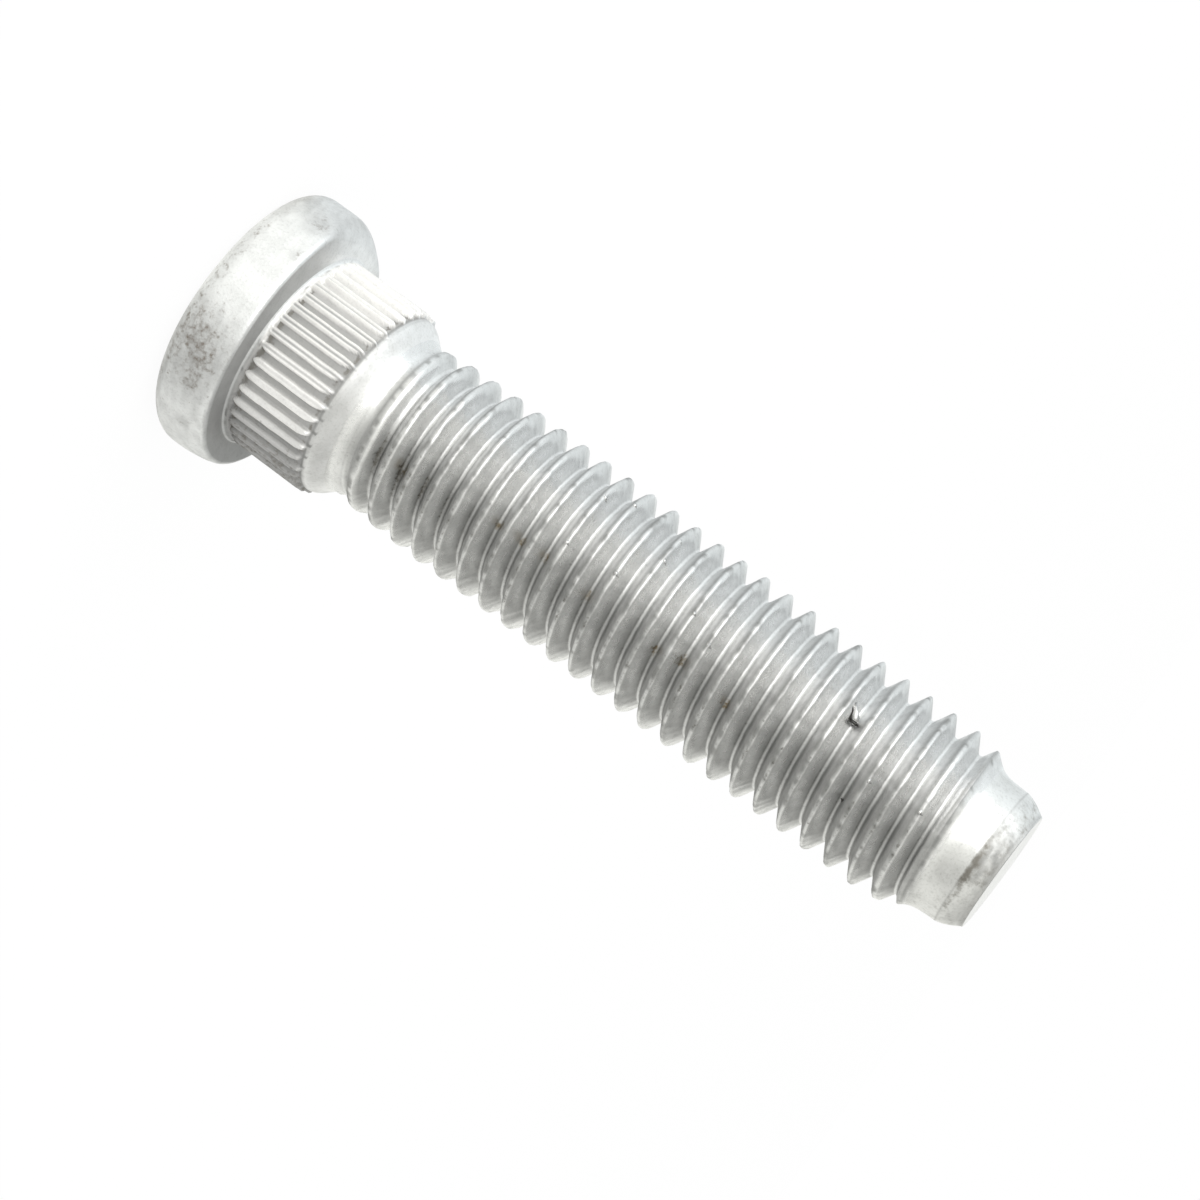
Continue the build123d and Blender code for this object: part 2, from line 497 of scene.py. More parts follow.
TOOTH_LEAN = 0.03
TOOTH_WANDER = 0.025
TOOTH_WANDER_CELL = 0.8
TOOTH_WANDER_STEP = 9.7
GROOVE_HEAD = 0.46
GROOVE_HEAD_SLIP = 1.5
GROOVE_HEAD_ROUND = 0.1
NECK_RADIUS = 6.25
SHOULDER_START = 6.9
SHOULDER_END = 8.95

# The teeth are rolled a little wider apart on the -Y side than on the +Y side.
spline_turn = np.radians(TOOTH_PHASE) + 2 * np.pi * np.arange(SPLINE_COLUMNS) / SPLINE_COLUMNS
spline_turn = spline_turn + math.radians(TOOTH_SPREAD) * np.cos(spline_turn)
tooth_place = np.arange(SPLINE_COLUMNS) / TOOTH_COLUMNS
tooth_number = np.round(tooth_place).astype(int) % TOOTH_COUNT
tooth_offset = (tooth_place - np.round(tooth_place)) * (2 * np.pi * SPLINE_ROOT / TOOTH_COUNT)
tooth_rng = np.random.default_rng(11)
tooth_end_slip = tooth_rng.uniform(-TOOTH_END_SLIP, TOOTH_END_SLIP, TOOTH_COUNT)[tooth_number]
tooth_head_slip = tooth_rng.uniform(0.0, TOOTH_HEAD_SLIP, TOOTH_COUNT)[tooth_number]
tooth_lean = tooth_rng.uniform(-TOOTH_LEAN, TOOTH_LEAN, TOOTH_COUNT)[tooth_number]
fold_turn = 1 - near_turn(spline_turn, middle=-52, half=29, power=4)
joined_turn = np.interp(np.cos(spline_turn), [-0.05, 0.2], [1, 0])


def shoulder_radius(height):
    """The smooth step from the shank down to the neck."""
    share = np.clip((height - SHOULDER_START) / (SHOULDER_END - SHOULDER_START), 0, 1)
    return NECK_RADIUS + (SPLINE_ROOT - NECK_RADIUS) * 0.5 * (1 + np.cos(np.pi * share))


def tooth_rise(height):
    """How far the teeth stand above the shank at a height, and the shallow folds along their crests."""
    wander = TOOTH_WANDER * ripple(height + TOOTH_WANDER_STEP * tooth_number, TOOTH_WANDER_CELL, seed=21)
    across = tooth_offset + tooth_lean + wander
    up = np.clip((height - TOOTH_HEAD_END - tooth_head_slip) / TOOTH_HEAD_POINT, 0, 1)
    up = np.maximum(up, joined_turn)
    end = TOOTH_THREAD_END + tooth_end_slip + TOOTH_SLANT * across
    down = np.clip((height - end + TOOTH_THREAD_POINT) / TOOTH_THREAD_POINT, 0, 1)
    half = TOOTH_HALF_WIDTH * np.sqrt(up) * np.sqrt(1 - down**2)
    crown = eased(np.clip((half - np.abs(across)) / TOOTH_FLANK, 0, 1))
    web_end = GROOVE_HEAD + GROOVE_HEAD_SLIP * tooth_head_slip
    web = joined_turn * np.clip((web_end - height) / GROOVE_HEAD_ROUND, 0, 1)
    fold = np.clip(1 - np.abs(across) / TOOTH_FOLD_HALF, 0, 1) * crown * fold_turn * (1 - web)
    return TOOTH_HEIGHT * np.maximum(crown, web) - TOOTH_FOLD * fold, fold


# Painted shade and grime on the spline: painted shade in the grooves and folds, on the side turned away from
# the light, where grime specks lie too, on the left flanks of the front teeth and on some crests, and
# painted shade with grime in the corners at both ends of the grooves.
GROOVE_SHADE = 0.78
GROOVE_END_SHADE = 0.12
GROOVE_END_GRIME_AND_SHADE = 0.72
GROOVE_SHARE = 0.35
FOLD_SHADE = 0.80
SHADE_DULL = 0.80
SHADE_FRONT_REACH = 47
SHADE_BACK_REACH = 70
SHADE_GRIME = 0.75
HOOK_SHADE = 0.9
LEDGE_SHADE = 0.30
TOP_FOLD_SHADE = 0.30
LEFT_FLANK_SHADE = 0.80
FRONT_GROOVE_EASE = 0.15
RAGGED_FILM = 0.5
RAGGED_FILM_MOST = 0.8
COLLAR_SHADE_SPECKS = 0.3
FULLEST_SHADE = 0.88
shade_gap = turn_gap(spline_turn, 0)
shade_front = near(shade_gap, 0, SHADE_FRONT_REACH, power=6)
shade_back = near(shade_gap, 0, SHADE_BACK_REACH)
spline_shade = SHADE_DULL * np.where(shade_gap < 0, shade_front, shade_back)
# Painted shade in the grooves, left off on the -X side where the light falls into them, and a little less
# near the front.
groove_shade_turn = 1 - near_turn(spline_turn, middle=-180, half=53, power=6)
groove_shade_turn = groove_shade_turn * (1 - FRONT_GROOVE_EASE * near_turn(spline_turn, middle=-50, half=16))
hook_turn = near_turn(spline_turn, middle=-145, half=30, power=4)
# Painted shade along the folds in the middle of the tooth crests where the teeth are brightest.
top_fold_shade = TOP_FOLD_SHADE * near_turn(spline_turn, middle=-114, half=17)
top_fold_shade = top_fold_shade * near(tooth_offset, middle=0, half=0.08)
# Painted shade on the left flanks of the front teeth, where the grooves' shade falls on them.
left_flank_shade = LEFT_FLANK_SHADE * near_turn(spline_turn, middle=-54, half=22)
left_flank_shade = left_flank_shade * near(tooth_offset, middle=-0.34, half=0.12)
# Painted shade on the collar's foot, more on the +X side away from the light, as grey and as specks, with
# ragged patches of worn zinc.
collar_shade = np.interp(np.cos(spline_turn), [-0.05, 0.2, 1], [0, 0.60, 0.75])
collar_wear_and_shade = RAGGED_FILM * patches(spline_turn * SPLINE_ROOT, cell=0.3, seed=32, gain=1.6, start=0.4)
collar_wear_and_shade = np.clip(collar_shade + collar_wear_and_shade, 0, RAGGED_FILM_MOST)

collar_foot = ((7.71, 0.25), (7.54, 0.33))
spline_rings = []
for radius, height in collar_foot:
    radius = radius + joined_turn * (SPLINE_ROOT + TOOTH_HEIGHT - radius)
    spline_rings.append(lay_points(radius, spline_turn, height, COLLAR_SHADE_SPECKS * collar_shade, 0, collar_wear_and_shade))
spline_heights = [0.38, 0.44, 0.51, 0.59, 0.70, 0.9, 1.4, 2.2, 3.0, 3.8, 4.6, 5.2, 5.6]
spline_heights += [5.8, 5.95, 6.1, 6.24, 6.37, 6.5, 6.62, 6.74, 6.85, 6.95, 7.08]
for height in spline_heights:
    rise, fold = tooth_rise(height)
    groove = np.clip(1 - rise / (GROOVE_SHARE * TOOTH_HEIGHT), 0, 1)
    groove = groove * np.interp(height, [6.75, 6.95], [1, 0])
    shade = spline_shade * np.interp(height, [6.6, 7.08], [1, 0])
    head_shadow = near(height, middle=0.62, half=0.38)
    darkening = np.maximum(groove_shade_turn, HOOK_SHADE * hook_turn * np.interp(height, [5.6, 6.3], [0.45, 1]))
    # Painted shade low in the grooves where the teeth end above the shoulder.
    ledge = np.clip(1 - rise / TOOTH_HEIGHT, 0, 1) * np.interp(height, [6.6, 6.8], [0, 1])
    shade_and_dull = (GROOVE_SHADE + GROOVE_END_SHADE * head_shadow) * groove * darkening + FOLD_SHADE * fold * groove_shade_turn
    shade_and_dull = shade_and_dull + (top_fold_shade + left_flank_shade) * (1 - groove) + shade + LEDGE_SHADE * ledge
    shade_and_dull = np.clip(shade_and_dull, 0, FULLEST_SHADE)
    # Grime and painted shadow in the grooves' corners at both ends, and grime specks in the shade on the
    # turned-away side.
    end_grime_and_shade = GROOVE_END_GRIME_AND_SHADE * groove * near(height, middle=6.5, half=0.35) + groove * darkening * head_shadow
    end_grime_and_shade = np.maximum(end_grime_and_shade, SHADE_GRIME * shade)
    spline_rings.append(lay_points(shoulder_radius(height) + rise, spline_turn, height, end_grime_and_shade, 0, shade_and_dull))
skin_rings(spline_rings[:-3], SPLINE_FINISH)
skin_rings(spline_rings[-4:], SHOULDER_FINISH)


def join_split(coarse, fine, coarse_below, finish):
    """Closes the wall between a ring and one with four times its points."""
    faces = []
    for i in range(COLUMNS):
        a, b = int(coarse[i]), int(coarse[(i + 1) % COLUMNS])
        f = [int(fine[(COLUMN_SPLIT * i + step) % SPLINE_COLUMNS]) for step in range(COLUMN_SPLIT + 1)]
        walls = [[a, f[1], f[0]], [a, f[2], f[1]], [a, b, f[2]], [b, f[3], f[2]], [b, f[4], f[3]]]
        faces.extend(walls if coarse_below else [wall[::-1] for wall in walls])
    lay_faces(faces, finish)


join_split(head_top, spline_rings[0], True, HEAD_FINISH)
# Painted shade on the shoulder and the neck, set round them by how the light falls.
NECK_SHADE = 0.22
shoulder_shade = np.interp(toward_x, [-0.8, -0.6, 0, 0.5, 1], [0.05, 0.38, 0.44, 0.28, 0.12])
neck_shade = NECK_SHADE * near_turn(column_turn, middle=-66, half=22)
shoulder_heights = (7.2, 7.32, 7.45, 7.58, 7.72, 7.86, 8.0, 8.12, 8.25)
shoulder_rings = []
for height in shoulder_heights:
    shade_and_dull = shoulder_shade * np.interp(height, [7.5, 8.1], [1, 0])
    shade_and_dull = shade_and_dull + neck_shade * np.interp(height, [7.7, 8.1], [0, 1])
    shoulder_rings.append(lay_points(shoulder_radius(height), column_turn, height, 0, 0, shade_and_dull))
join_split(shoulder_rings[0], spline_rings[-1], False, SHOULDER_FINISH)
skin_rings(shoulder_rings, SHOULDER_FINISH)

stud_finishes.append(
    zinc_finish(
        "zinc_on_spline",
        metal=0.44,
        light=(0.97, 0.96, 0.935, 1),
        dark=(0.76, 0.75, 0.73, 1),
        mottle_scale=900.0,
        mottle=0.25,
        smooth=0.32,
        rough=0.46,
        grain_depth=0.006,
        speck_scale=2200.0,
        speck_blur=0.10,
        film_colour=(0.26, 0.25, 0.23, 1),
    )
)
stud_finishes.append(
    zinc_finish(
        "zinc_on_shoulder",
        metal=0.85,
        light=(0.96, 0.96, 0.96, 1),
        dark=(0.74, 0.74, 0.73, 1),
        mottle_scale=600.0,
        mottle=0.50,
        smooth=0.32,
        rough=0.46,
        grain_depth=0.006,
        speck_scale=2200.0,
        speck_blur=0.10,
        film_colour=(0.30, 0.29, 0.28, 1),
    )
)

# Rolled thread
# A right-hand thread of 2 mm pitch, rolled into the steel, so that its roots are round and its crests a
# little ragged where the metal met. It fades in at the neck and tapers at its lead, with grime in its roots
# and painted shade on its flanks, crests and roots.
THREAD_FINISH = 3
NOTCH_SHADOW_FINISH = 4
PITCH = 2.0
CREST_LINE = 0.65
CREST_RADIUS = 6.85
CREST_HALF = 0.085
CREST_HALF_RAGGED = 0.03
CREST_RAGGED = 0.05
CREST_WANDER = 0.03
CREST_WANDER_REACH = 0.35
CREST_ROUND = 0.13
ROOT_RADIUS = 5.50
ROOT_ROUND = 0.13
FLANK_SLOPE = math.sqrt(3)
FULL_DEPTH = 0.6
ROOT_SHADE_RADIUS = 6.2
ROOT_SHADE_DEPTH = 0.45
THREAD_LOW = shoulder_heights[-1]
THREAD_HIGH = 58.55
THREAD_MARGIN = 0.03
DOG_START = 58.4
DOG_RADIUS = 5.35
DOG_FLARE = 0.40
DOG_FLARE_LENGTH = 0.55

# Where each row of points lies between one crest and the next, as a share of the pitch.
half_rows = np.array([0.03, 0.075, 0.13, 0.27, 0.375, 0.425, 0.46])
row_share = np.concatenate([-half_rows[::-1], half_rows, [0.5]])
ROWS = len(row_share)


def soft_min(first, second, blend):
    """The smaller of two values, rounded over where they are closer than the blend."""
    overlap = np.clip(blend - np.abs(first - second), 0, None)
    return np.minimum(first, second) - overlap**2 / (4 * np.maximum(blend, 1e-6))


def dog_radius(height):
    """The dog point's flared foot and plain length."""
    return DOG_RADIUS + DOG_FLARE * np.exp(-(height - DOG_START) / DOG_FLARE_LENGTH)


def crest_limit(height):
    """The turned shape that the crests reach: a rise from the neck and a taper to the dog point."""
    rise = np.interp(height, [8.5, 9.9, 11.8, 13.8, 16.5], [0, 0.24, 0.44, 0.53, 0.60])
    fall = np.interp(height, [55.6, 57.6, 58.35], [0, 0.40, 1.08])
    lead = shoulder_radius(height) + rise - fall
    return np.where(height > DOG_START, dog_radius(height), lead)


def root_limit(height):
    """The turned shape that the roots reach down to."""
    fall = np.interp(height, [8.4, 9.0, 10.0, 11.6], [0, 0.12, 0.38, NECK_RADIUS - ROOT_RADIUS])
    lift = np.interp(height, [57.4, DOG_START], [0, 0.1])
    return np.where(height > DOG_START, dog_radius(height), shoulder_radius(height) - fall + lift)


turn_count = int((THREAD_HIGH - CREST_LINE) / PITCH) + 3
crest_number = np.repeat(np.arange(turn_count), ROWS)
row_offset = (np.tile(row_share, turn_count) * PITCH)[None, :]
helix_turn = crest_number[None, :] + column_turn[:, None] / (2 * np.pi)
thread_height = CREST_LINE + PITCH * helix_turn + row_offset
thread_turn = np.broadcast_to(column_turn[:, None], thread_height.shape)
along = helix_turn * 2 * np.pi * CREST_RADIUS
ragged = (ripple(along, cell=0.62, seed=3) + ripple(along, cell=0.31, seed=4)) / 2
crest_half = CREST_HALF + CREST_HALF_RAGGED * ripple(along, cell=0.4, seed=5)
crest_wander = CREST_WANDER * near(row_offset, 0, CREST_WANDER_REACH) * ripple(along, cell=0.8, seed=6)
flank = CREST_RADIUS + (crest_half - np.abs(row_offset + crest_wander)) * FLANK_SLOPE
crest = crest_limit(thread_height)
root = root_limit(thread_height)
depth_share = np.clip((crest - root) / FULL_DEPTH, 0, 1)
crest = crest - CREST_RAGGED * depth_share * (1 - ragged)
thread_radius = -soft_min(-flank, -root, ROOT_ROUND * depth_share)
thread_radius = soft_min(thread_radius, crest, CREST_ROUND * depth_share)

# Parts of the thread's profile, from one root over the crest to the next, and sides of the stud.
head_flank = near(row_offset, middle=-0.52, half=0.42, power=6) * depth_share
head_edge = near(row_offset, middle=-0.22, half=0.14) * depth_share
crest_wear_and_shade = near(row_offset, middle=0, half=0.16) * depth_share
tip_flank = near(row_offset, middle=0.50, half=0.30, power=4) * depth_share
low_flank = near(row_offset, middle=0.66, half=0.18) * depth_share
root_line = near(row_offset, middle=0.84, half=0.09) * depth_share
root_floor = near(np.abs(row_offset), middle=1.0, half=0.17) * depth_share
root_share = np.clip((ROOT_SHADE_RADIUS - thread_radius) / ROOT_SHADE_DEPTH, 0, 1) * depth_share
dark_side = near_turn(thread_turn, middle=-62, half=34)
crest_side = near_turn(thread_turn, middle=-74, half=32)
far_side = near_turn(thread_turn, middle=-162, half=24)
far_edge = near_turn(thread_turn, middle=-172, half=16)
near_edge = near_turn(thread_turn, middle=-20, half=16)
hidden_side = near_turn(thread_turn, middle=105, half=62, power=4)
dirty_start = near_turn(thread_turn, middle=-64, half=17) * near(thread_height, middle=12.5, half=5.0)

# Brown stains and dark dirt in the roots, by height and turn.
STAIN_STRENGTH = 0.85
stain_spots = [
    (21.3, -76),
    (23.3, -77),
    (25.3, -78),
    (29.3, -74),
    (35.2, -70),
    (37.1, -76),
    (41.3, -69),
    (13.5, -68),
]
dirt_spots = [(11.28, -66), (13.28, -66)]


def root_spot(height, turn, around_half, height_half):
    """A spot in a root at a height and a turn, with half widths round the stud and along it."""
    around = np.radians(turn_gap(thread_turn, turn)) * ROOT_RADIUS
    return near(around, 0, around_half) * near(thread_height, height, height_half)


stain = np.zeros_like(thread_height)
for height, turn in stain_spots:
    stain = np.maximum(stain, STAIN_STRENGTH * root_spot(height, turn, around_half=0.6, height_half=0.4))
root_dirt = root_floor * dirty_start
for height, turn in dirt_spots:
    root_dirt = np.maximum(root_dirt, root_spot(height, turn, around_half=0.7, height_half=0.3))

# How much grime, dull zinc and painted shade each of these parts has.
ROOT_LINE_GRIME = 0.1
ROOT_LINE_SHADE_SPECKS = 0.35
CREST_SHADE_SPECKS = 0.54
ROOT_DIRT_GRIME = 0.95
HEAD_FLANK_SHADE = 0.34
HEAD_FLANK_FAR = -0.18
HEAD_FLANK_NEAR = 0.20
HEAD_EDGE_SHADE = 0.45
HEAD_EDGE_DARK = -0.2
CREST_FAR_SHADE = 0.20
CREST_BREAK_DULL = 0.6
CREST_SPECK = 0.60
CREST_SPECK_CHANGE = 0.40
TIP_FLANK_FAR_SHADE = 0.40
LOW_FLANK_NEAR_SHADE = 0.35
ROOT_LINE_SHADE = 0.26
ROOT_LINE_DARK_SHADE = 0.12
ROOT_DARK_SHADE = 0.56
ROOT_DIRT_DULL = 0.55
HIDDEN_SIDE_SHADE = 0.30
THREAD_DARKEST = 0.85
# Grime on the root lines and dirt spots in the roots, with painted shade as specks along the root lines and
# crests on the side turned from the light.
grime_and_shade = root_line * (ROOT_LINE_GRIME + ROOT_LINE_SHADE_SPECKS * dark_side)
grime_and_shade = np.clip(grime_and_shade + CREST_SHADE_SPECKS * crest_wear_and_shade * dark_side + ROOT_DIRT_GRIME * root_dirt, 0, 1)
crest_speck = CREST_SPECK + CREST_SPECK_CHANGE * ripple(along, cell=0.26, seed=18)
crest_break = patches(along, cell=0.5, seed=17, gain=2.2, start=0.5)
# Painted shade on the head flanks and beside the crests, on the flanks at the far and near sides, and over
# the hidden side.
shade_and_dull = head_flank * (HEAD_FLANK_SHADE + HEAD_FLANK_FAR * far_side + HEAD_FLANK_NEAR * near_edge)
shade_and_dull = shade_and_dull + head_edge * (HEAD_EDGE_SHADE + HEAD_EDGE_DARK * dark_side)
# Painted shade on the crests, in uneven specks on the turned-away side and plain on the far side; the breaks
# are worn zinc.
shade_and_dull = shade_and_dull + crest_wear_and_shade * (crest_side * crest_speck + CREST_FAR_SHADE * far_side)
shade_and_dull = shade_and_dull + CREST_BREAK_DULL * crest_wear_and_shade * crest_break
shade_and_dull = shade_and_dull + TIP_FLANK_FAR_SHADE * tip_flank * far_edge + LOW_FLANK_NEAR_SHADE * low_flank * near_edge
# Painted shade along the root lines and deep in the roots on the side turned from the light.
shade_and_dull = shade_and_dull + root_line * (ROOT_LINE_SHADE + ROOT_LINE_DARK_SHADE * dark_side)
shade_and_dull = shade_and_dull + ROOT_DARK_SHADE * dark_side * root_share * (1 - tip_flank)
shade_and_dull = np.clip(shade_and_dull + ROOT_DIRT_DULL * root_dirt + HIDDEN_SIDE_SHADE * hidden_side, 0, THREAD_DARKEST)

thread_points = np.full(thread_height.shape, -1)
inside = (thread_height > THREAD_LOW + THREAD_MARGIN) & (thread_height < THREAD_HIGH - THREAD_MARGIN)
thread_points[inside] = lay_points(
    thread_radius[inside],
    thread_turn[inside],
    thread_height[inside],
    grime_and_shade[inside],
    stain[inside],
    shade_and_dull[inside],
)
thread_top = lay_points(dog_radius(THREAD_HIGH), column_turn, THREAD_HIGH)
thread_foot = shoulder_rings[-1]

thread_walls = []
for column in range(COLUMNS):
    here = thread_points[column]
    # One turn on, the same row is one pitch higher, so the last column meets the first a pitch further up.
    after = thread_points[(column + 1) % COLUMNS]
    if column == COLUMNS - 1:
        after = np.append(after[ROWS:], np.full(ROWS, -1))
    whole = (here[:-1] >= 0) & (here[1:] >= 0) & (after[:-1] >= 0) & (after[1:] >= 0)
    rows = np.nonzero(whole)[0]
    walls = np.stack([here[rows], after[rows], after[rows + 1], here[rows + 1]], axis=-1)
    thread_walls.extend(walls.tolist())
    first, after_first = np.nonzero(here >= 0)[0][0], np.nonzero(after >= 0)[0][0]
    foot, foot_after = int(thread_foot[column]), int(thread_foot[(column + 1) % COLUMNS])
    chain = [foot_after] + [int(after[i]) for i in range(after_first, first + 1)] + [int(here[first])]
    thread_walls.extend([foot, a, b] for a, b in zip(chain, chain[1:]))
    last, after_last = np.nonzero(here >= 0)[0][-1], np.nonzero(after >= 0)[0][-1]
    top, top_after = int(thread_top[column]), int(thread_top[(column + 1) % COLUMNS])
    chain = [int(after[after_last])] + [int(here[i]) for i in range(after_last, last + 1)] + [top]
    thread_walls.extend([top_after, b, a] for a, b in zip(chain, chain[1:]))
lay_faces(thread_walls, THREAD_FINISH)

# Flakes and nicks: small bits of metal that stand up from the thread, and notches of painted shadow beside
# them.
CHIP_SINK = 0.10
NOTCH_LIFT = 0.03
DENT_LIFT = 0.02
DENT_EDGE_LIFT = 0.05
NICK_SHADE = 0.85
NICK_HEIGHTS = (0.10, 0.16)
NICK_TURNS = (1.2, 2.0)


def thread_surface(turn, height):
    """The thread's radius at a turn in radians and a height, without its ragged edges."""
    place = (height - CREST_LINE) / PITCH - turn / (2 * np.pi)
    offset = np.abs(place - np.round(place)) * PITCH
    flank_radius = CREST_RADIUS + (CREST_HALF - offset) * FLANK_SLOPE
    return np.clip(flank_radius, ROOT_RADIUS, CREST_RADIUS - CREST_RAGGED)


def lay_chip(outline, finish, painted_shade=0.0):
    """A chip on the thread, with an outline of height, turn in degrees and lift that runs anticlockwise."""
    height, turn, lift = np.array(outline).T
    turn = np.radians(turn)
    surface = thread_surface(turn, height)
    edge = lay_points(surface + lift, turn, height, 0, 0, painted_shade)
    foot = lay_points(surface - CHIP_SINK, turn, height, 0, 0, painted_shade)
    lay_faces([edge.tolist()], finish)
    lay_faces(np.stack([foot, np.roll(foot, -1), np.roll(edge, -1), edge], axis=-1).tolist(), finish)


# The largest flake bridges a root near the tip, curled up on its lower side over a notch of near-black
# painted shadow.
flake_outline = [
    (48.34, -122.4, 0.06),
    (48.44, -120.0, 0.12),
    (48.62, -116.2, 0.22),
    (48.80, -112.8, 0.36),
    (49.30, -112.8, 0.30),
    (49.12, -117.2, 0.30),
    (48.76, -120.6, 0.16),
]
notch_side = [
    (48.36, -118.4, NOTCH_LIFT),
    (48.62, -110.8, NOTCH_LIFT),
    (48.76, -112.2, NOTCH_LIFT),
    (48.50, -117.6, NOTCH_LIFT),
]
notch_end = [
    (48.66, -110.8, NOTCH_LIFT),
    (49.38, -110.9, NOTCH_LIFT),
    (49.34, -112.2, NOTCH_LIFT),
    (48.78, -112.2, NOTCH_LIFT),
]
lay_chip(flake_outline, THREAD_FINISH)
lay_chip(notch_side, NOTCH_SHADOW_FINISH)
lay_chip(notch_end, NOTCH_SHADOW_FINISH)

# Nicks on the crests by height and turn: a bright dent and a notch of painted shade on its tip side.
crest_nicks = [
    (26.03, -133.5),
    (27.84, -142.5),
    (30.15, -96.6),
    (26.14, -94.4),
    (31.94, -140.2),
    (32.16, -121.4),
    (36.10, -105.0),
    (38.20, -95.0),
    (52.29, -86.9),
    (56.20, -89.8),
]
nick_rng = np.random.default_rng(8)
for height, turn in crest_nicks:
    tall = nick_rng.uniform(*NICK_HEIGHTS)
    wide = nick_rng.uniform(*NICK_TURNS)
    dent = [
        (height - tall, turn - 0.4 * wide, DENT_LIFT),
        (height - 0.3 * tall, turn + wide, DENT_EDGE_LIFT),
        (height + tall, turn + 0.5 * wide, DENT_EDGE_LIFT),
        (height + 0.4 * tall, turn - wide, DENT_LIFT),
    ]
    shaded_notch = [
        (height + tall, turn - 0.2 * wide, NOTCH_LIFT),
        (height + tall, turn + 0.8 * wide, NOTCH_LIFT),
        (height + 1.9 * tall, turn + 0.5 * wide, NOTCH_LIFT),
    ]
    lay_chip(dent, THREAD_FINISH)
    lay_chip(shaded_notch, THREAD_FINISH, NICK_SHADE)

# One dark nick lies in a root near the tip, drawn in near-black painted shadow.
root_nick = [
    (51.24, -64.1, NOTCH_LIFT),
    (51.46, -61.9, NOTCH_LIFT),
    (51.52, -64.9, NOTCH_LIFT),
]
lay_chip(root_nick, NOTCH_SHADOW_FINISH)

stud_finishes.append(
    zinc_finish(
        "zinc_on_thread",
        metal=1.0,
        light=(0.95, 0.95, 0.95, 1),
        dark=(0.70, 0.70, 0.70, 1),
        mottle_scale=1100.0,
        mottle=0.35,
        smooth=0.26,
        rough=0.44,
        grain_depth=0.008,
        speck_scale=2600.0,
        speck_blur=0.16,
        film_colour=(0.18, 0.172, 0.156, 1),
    )
)
# Near-black painted shadow for the notches.
stud_finishes.append(
    zinc_finish(
        "painted_shadow_in_notches",
        metal=0.0,
        light=(0.035, 0.033, 0.030, 1),
        dark=(0.015, 0.014, 0.012, 1),
        mottle_scale=2600.0,
        mottle=0.5,
        smooth=0.60,
        rough=0.80,
        grain_depth=0.006,
        speck_scale=2600.0,
        speck_blur=0.16,
        film_colour=(0.02, 0.02, 0.02, 1),
    )
)

# Dog point
# The plain end that leads the nut onto the thread: a flared foot, a smooth cylinder and a tapered, slightly
# rounded tip with a flat end, all turned and then plated. A dark smear runs round the start of its taper,
# and painted shade lies on the taper's lit side and in thin lines at its start and round its flat end.
DOG_FINISH = 5
TIP_FINISH = 6
TIP_START = 60.75
TAPER_LEAD = 0.1
STUD_LENGTH = 62.5
TIP_EDGE = 0.12
TIP_TAPER = 0.20
TIP_CURVE = 0.155
SMEAR_HEIGHT = 60.98
SMEAR_HALF = 0.36
TAPER_MOTTLE = 0.20
TAPER_DARKEST = 0.8
TAPER_STEPS = 14
TIP_EDGE_STEPS = 5
TIP_RINGS = (0.93, 0.75, 0.5, 0.25, 0.1)
SMEAR_ALL_ROUND = 0.20
SMEAR_FRONT = 0.80
SPECKLE = 0.40
SPECKLE_SMEARED = 0.16
SPECKLE_SHADED = -0.40


def arc(centre_radius, centre_height, size, start, end, steps):
    """Points of radius and height along a round of a turned outline, by angle from the radius direction."""
    angles = np.radians(np.linspace(start, end, steps))
    return [(centre_radius + size * math.cos(a), centre_height + size * math.sin(a)) for a in angles]


dog_heights = [58.7, 58.85, 59.0, 59.2, 59.4, 59.65, 59.9, 60.2, 60.5]
dog_outline = [(dog_radius(height), height) for height in dog_heights]
for height in np.linspace(TIP_START - TAPER_LEAD, STUD_LENGTH - TIP_EDGE, TAPER_STEPS):
    beyond = max(height - TIP_START, 0)
    dog_outline.append((dog_radius(height) - TIP_TAPER * beyond - TIP_CURVE * beyond**2, height))
end_radius = dog_outline[-1][0]
dog_outline += arc(end_radius - TIP_EDGE, STUD_LENGTH - TIP_EDGE, TIP_EDGE, 0, 90, TIP_EDGE_STEPS)[1:]

# Small uneven patches of dull zinc on the taper, one row for each ring.
taper_patches = np.random.default_rng(23).uniform(-1, 1, (len(dog_outline), COLUMNS))
taper_patches = (taper_patches + np.roll(taper_patches, 1, axis=1) + np.roll(taper_patches, 2, axis=1)) / 2
taper_patches = (taper_patches + np.roll(taper_patches, 1, axis=0)) / 1.5

smear_turn = near_turn(column_turn, middle=-78, half=32)
shaded_turn = near_turn(column_turn, middle=-25, half=30)
lit_turn = near_turn(column_turn, middle=-97, half=27, power=4)
# Fewer specks on the side turned from the light paint that side lighter.
speckle_turn = SPECKLE + SPECKLE_SMEARED * smear_turn + SPECKLE_SHADED * shaded_turn
